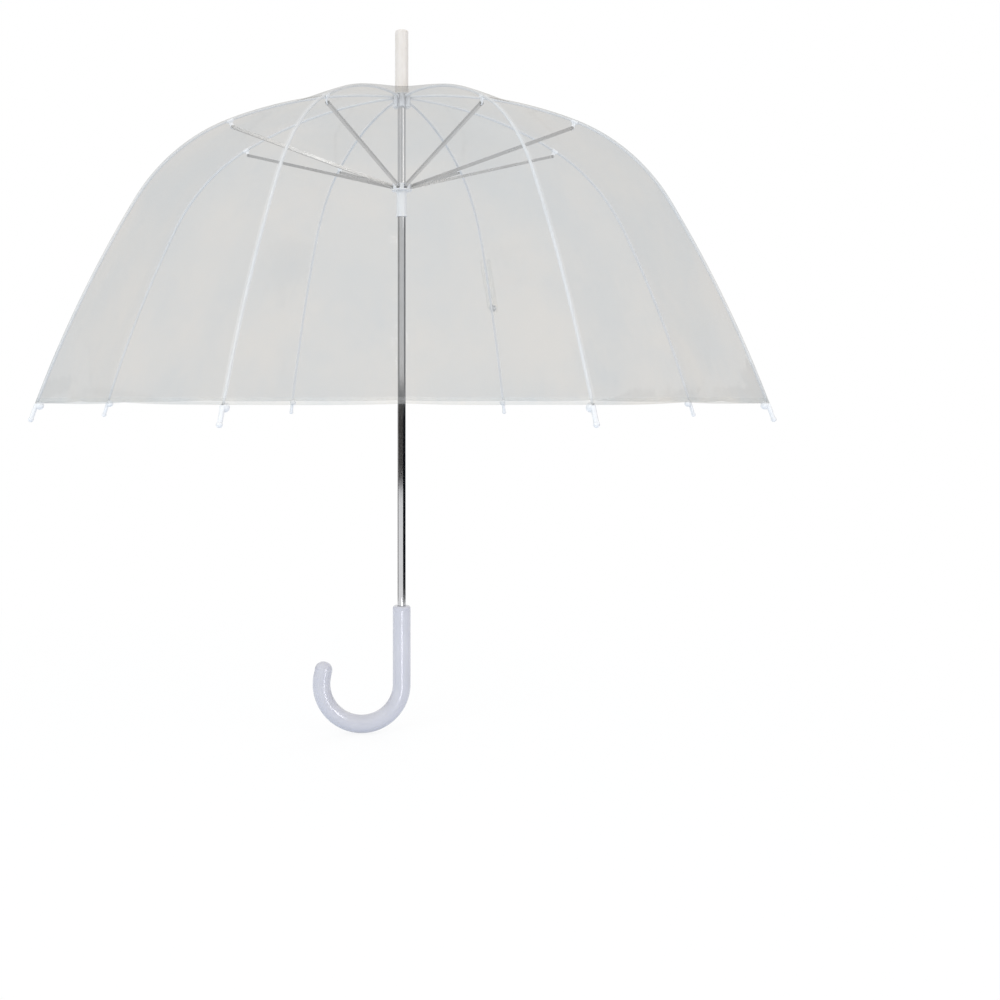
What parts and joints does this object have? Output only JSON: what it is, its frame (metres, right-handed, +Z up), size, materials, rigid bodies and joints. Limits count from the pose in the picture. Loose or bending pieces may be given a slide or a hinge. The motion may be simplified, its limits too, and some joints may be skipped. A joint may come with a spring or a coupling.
{
  "type": "stick umbrella",
  "caption": "Clear dome umbrella on a straight steel stick with a white crook handle; the ribs, stretchers and runner fold it shut.",
  "frame": {"origin": "on the stick's axis, at the middle of the straight grip", "axes": "+Z up the stick to the ferrule; the crook opens towards -X; -Y faces the picture's camera"},
  "size_m": [0.7966, 0.7966, 0.8441],
  "materials": {
    "white_plastic": "moulded, glossy",
    "ferrule_plastic": "moulded, warm white",
    "rib_glass_fibre": "white glass fibre rod",
    "shaft_chrome": "plated steel tube",
    "stretcher_steel": "plated folded steel",
    "spring_steel": "bright drawn wire",
    "clear_film": "clear soft film"
  },
  "bodies": {
    "stick": {"shaft": "shaft_chrome", "handle": "white_plastic", "ferrule": "ferrule_plastic", "top_notch": "white_plastic", "notch_wire": "spring_steel", "canopy": "clear_film"},
    "rib_upper_1": {"rib_upper_1": "rib_glass_fibre", "rib_clip_1": "white_plastic", "rivet_1": "spring_steel"},
    "rib_lower_1": {"rib_lower_1": "rib_glass_fibre", "rib_tip_1": "white_plastic"},
    "stretcher_1": {"stretcher_1": "stretcher_steel"},
    "rib_upper_2": {"rib_upper_2": "rib_glass_fibre", "rib_clip_2": "white_plastic", "rivet_2": "spring_steel"},
    "rib_lower_2": {"rib_lower_2": "rib_glass_fibre", "rib_tip_2": "white_plastic", "tie_strap": "clear_film", "snap_fastener": "white_plastic"},
    "stretcher_2": {"stretcher_2": "stretcher_steel"},
    "rib_upper_3": {"rib_upper_3": "rib_glass_fibre", "rib_clip_3": "white_plastic", "rivet_3": "spring_steel"},
    "rib_lower_3": {"rib_lower_3": "rib_glass_fibre", "rib_tip_3": "white_plastic"},
    "stretcher_3": {"stretcher_3": "stretcher_steel"},
    "rib_upper_4": {"rib_upper_4": "rib_glass_fibre", "rib_clip_4": "white_plastic", "rivet_4": "spring_steel"},
    "rib_lower_4": {"rib_lower_4": "rib_glass_fibre", "rib_tip_4": "white_plastic"},
    "stretcher_4": {"stretcher_4": "stretcher_steel"},
    "rib_upper_5": {"rib_upper_5": "rib_glass_fibre", "rib_clip_5": "white_plastic", "rivet_5": "spring_steel"},
    "rib_lower_5": {"rib_lower_5": "rib_glass_fibre", "rib_tip_5": "white_plastic"},
    "stretcher_5": {"stretcher_5": "stretcher_steel"},
    "rib_upper_6": {"rib_upper_6": "rib_glass_fibre", "rib_clip_6": "white_plastic", "rivet_6": "spring_steel"},
    "rib_lower_6": {"rib_lower_6": "rib_glass_fibre", "rib_tip_6": "white_plastic"},
    "stretcher_6": {"stretcher_6": "stretcher_steel"},
    "rib_upper_7": {"rib_upper_7": "rib_glass_fibre", "rib_clip_7": "white_plastic", "rivet_7": "spring_steel"},
    "rib_lower_7": {"rib_lower_7": "rib_glass_fibre", "rib_tip_7": "white_plastic"},
    "stretcher_7": {"stretcher_7": "stretcher_steel"},
    "rib_upper_8": {"rib_upper_8": "rib_glass_fibre", "rib_clip_8": "white_plastic", "rivet_8": "spring_steel"},
    "rib_lower_8": {"rib_lower_8": "rib_glass_fibre", "rib_tip_8": "white_plastic"},
    "stretcher_8": {"stretcher_8": "stretcher_steel"},
    "runner": {"runner": "white_plastic", "runner_wire": "spring_steel"},
    "upper_catch": {"upper_catch": "spring_steel"},
    "lower_catch": {"lower_catch": "spring_steel"}
  },
  "joints": [
    {"name": "canopy_fold", "type": "hinge", "parent": "stick", "child": "rib_upper_1", "pos_m": [0.00831, 0.00344, 0.658], "axis": [-0.3827, 0.9239, 0], "range_deg": [0, 70], "deforming": ["canopy"]},
    {"name": "rib_flex_1", "type": "hinge", "parent": "rib_upper_1", "child": "rib_lower_1", "pos_m": [0.228, 0.09444, 0.59123], "axis": [-0.3827, 0.9239, 0], "range_deg": [-38.5, 0]},
    {"name": "stretcher_pivot_1", "type": "hinge", "parent": "rib_upper_1", "child": "stretcher_1", "pos_m": [0.19285, 0.07988, 0.60385], "axis": [-0.3827, 0.9239, 0], "range_deg": [-140, 0]},
    {"name": "rib_pivot_2", "type": "hinge", "parent": "stick", "child": "rib_upper_2", "pos_m": [0.00344, 0.00831, 0.658], "axis": [-0.9239, 0.3827, 0], "range_deg": [0, 70]},
    {"name": "rib_flex_2", "type": "hinge", "parent": "rib_upper_2", "child": "rib_lower_2", "pos_m": [0.09444, 0.228, 0.59123], "axis": [-0.9239, 0.3827, 0], "range_deg": [-38.5, 0]},
    {"name": "stretcher_pivot_2", "type": "hinge", "parent": "rib_upper_2", "child": "stretcher_2", "pos_m": [0.07988, 0.19285, 0.60385], "axis": [-0.9239, 0.3827, 0], "range_deg": [-140, 0]},
    {"name": "rib_pivot_3", "type": "hinge", "parent": "stick", "child": "rib_upper_3", "pos_m": [-0.00344, 0.00831, 0.658], "axis": [-0.9239, -0.3827, 0], "range_deg": [0, 70]},
    {"name": "rib_flex_3", "type": "hinge", "parent": "rib_upper_3", "child": "rib_lower_3", "pos_m": [-0.09444, 0.228, 0.59123], "axis": [-0.9239, -0.3827, 0], "range_deg": [-38.5, 0]},
    {"name": "stretcher_pivot_3", "type": "hinge", "parent": "rib_upper_3", "child": "stretcher_3", "pos_m": [-0.07988, 0.19285, 0.60385], "axis": [-0.9239, -0.3827, 0], "range_deg": [-140, 0]},
    {"name": "rib_pivot_4", "type": "hinge", "parent": "stick", "child": "rib_upper_4", "pos_m": [-0.00831, 0.00344, 0.658], "axis": [-0.3827, -0.9239, 0], "range_deg": [0, 70]},
    {"name": "rib_flex_4", "type": "hinge", "parent": "rib_upper_4", "child": "rib_lower_4", "pos_m": [-0.228, 0.09444, 0.59123], "axis": [-0.3827, -0.9239, 0], "range_deg": [-38.5, 0]},
    {"name": "stretcher_pivot_4", "type": "hinge", "parent": "rib_upper_4", "child": "stretcher_4", "pos_m": [-0.19285, 0.07988, 0.60385], "axis": [-0.3827, -0.9239, 0], "range_deg": [-140, 0]},
    {"name": "rib_pivot_5", "type": "hinge", "parent": "stick", "child": "rib_upper_5", "pos_m": [-0.00831, -0.00344, 0.658], "axis": [0.3827, -0.9239, 0], "range_deg": [0, 70]},
    {"name": "rib_flex_5", "type": "hinge", "parent": "rib_upper_5", "child": "rib_lower_5", "pos_m": [-0.228, -0.09444, 0.59123], "axis": [0.3827, -0.9239, 0], "range_deg": [-38.5, 0]},
    {"name": "stretcher_pivot_5", "type": "hinge", "parent": "rib_upper_5", "child": "stretcher_5", "pos_m": [-0.19285, -0.07988, 0.60385], "axis": [0.3827, -0.9239, 0], "range_deg": [-140, 0]},
    {"name": "rib_pivot_6", "type": "hinge", "parent": "stick", "child": "rib_upper_6", "pos_m": [-0.00344, -0.00831, 0.658], "axis": [0.9239, -0.3827, 0], "range_deg": [0, 70]},
    {"name": "rib_flex_6", "type": "hinge", "parent": "rib_upper_6", "child": "rib_lower_6", "pos_m": [-0.09444, -0.228, 0.59123], "axis": [0.9239, -0.3827, 0], "range_deg": [-38.5, 0]},
    {"name": "stretcher_pivot_6", "type": "hinge", "parent": "rib_upper_6", "child": "stretcher_6", "pos_m": [-0.07988, -0.19285, 0.60385], "axis": [0.9239, -0.3827, 0], "range_deg": [-140, 0]},
    {"name": "rib_pivot_7", "type": "hinge", "parent": "stick", "child": "rib_upper_7", "pos_m": [0.00344, -0.00831, 0.658], "axis": [0.9239, 0.3827, 0], "range_deg": [0, 70]},
    {"name": "rib_flex_7", "type": "hinge", "parent": "rib_upper_7", "child": "rib_lower_7", "pos_m": [0.09444, -0.228, 0.59123], "axis": [0.9239, 0.3827, 0], "range_deg": [-38.5, 0]},
    {"name": "stretcher_pivot_7", "type": "hinge", "parent": "rib_upper_7", "child": "stretcher_7", "pos_m": [0.07988, -0.19285, 0.60385], "axis": [0.9239, 0.3827, 0], "range_deg": [-140, 0]},
    {"name": "rib_pivot_8", "type": "hinge", "parent": "stick", "child": "rib_upper_8", "pos_m": [0.00831, -0.00344, 0.658], "axis": [0.3827, 0.9239, 0], "range_deg": [0, 70]},
    {"name": "rib_flex_8", "type": "hinge", "parent": "rib_upper_8", "child": "rib_lower_8", "pos_m": [0.228, -0.09444, 0.59123], "axis": [0.3827, 0.9239, 0], "range_deg": [-38.5, 0]},
    {"name": "stretcher_pivot_8", "type": "hinge", "parent": "rib_upper_8", "child": "stretcher_8", "pos_m": [0.19285, -0.07988, 0.60385], "axis": [0.3827, 0.9239, 0], "range_deg": [-140, 0]},
    {"name": "runner_pivot", "type": "hinge", "parent": "stretcher_1", "child": "runner", "pos_m": [0.00831, 0.00344, 0.54971], "axis": [-0.3827, 0.9239, 0], "range_deg": [0, 70]},
    {"name": "upper_catch_press", "type": "slide", "parent": "stick", "child": "upper_catch", "axis": [0, -1, 0], "range_m": [0, 0.0012], "stiffness_N_per_m": 600},
    {"name": "lower_catch_press", "type": "slide", "parent": "stick", "child": "lower_catch", "axis": [0, -1, 0], "range_m": [0, 0.0012], "stiffness_N_per_m": 600}
  ],
  "couplings": [
    {"joint": "rib_flex_1", "follows": "canopy_fold", "ratio": -0.55},
    {"joint": "stretcher_pivot_1", "follows": "canopy_fold", "ratio": -2},
    {"joint": "rib_pivot_2", "follows": "canopy_fold", "ratio": 1},
    {"joint": "rib_flex_2", "follows": "canopy_fold", "ratio": -0.55},
    {"joint": "stretcher_pivot_2", "follows": "canopy_fold", "ratio": -2},
    {"joint": "rib_pivot_3", "follows": "canopy_fold", "ratio": 1},
    {"joint": "rib_flex_3", "follows": "canopy_fold", "ratio": -0.55},
    {"joint": "stretcher_pivot_3", "follows": "canopy_fold", "ratio": -2},
    {"joint": "rib_pivot_4", "follows": "canopy_fold", "ratio": 1},
    {"joint": "rib_flex_4", "follows": "canopy_fold", "ratio": -0.55},
    {"joint": "stretcher_pivot_4", "follows": "canopy_fold", "ratio": -2},
    {"joint": "rib_pivot_5", "follows": "canopy_fold", "ratio": 1},
    {"joint": "rib_flex_5", "follows": "canopy_fold", "ratio": -0.55},
    {"joint": "stretcher_pivot_5", "follows": "canopy_fold", "ratio": -2},
    {"joint": "rib_pivot_6", "follows": "canopy_fold", "ratio": 1},
    {"joint": "rib_flex_6", "follows": "canopy_fold", "ratio": -0.55},
    {"joint": "stretcher_pivot_6", "follows": "canopy_fold", "ratio": -2},
    {"joint": "rib_pivot_7", "follows": "canopy_fold", "ratio": 1},
    {"joint": "rib_flex_7", "follows": "canopy_fold", "ratio": -0.55},
    {"joint": "stretcher_pivot_7", "follows": "canopy_fold", "ratio": -2},
    {"joint": "rib_pivot_8", "follows": "canopy_fold", "ratio": 1},
    {"joint": "rib_flex_8", "follows": "canopy_fold", "ratio": -0.55},
    {"joint": "stretcher_pivot_8", "follows": "canopy_fold", "ratio": -2},
    {"joint": "runner_pivot", "follows": "canopy_fold", "ratio": 1}
  ]
}
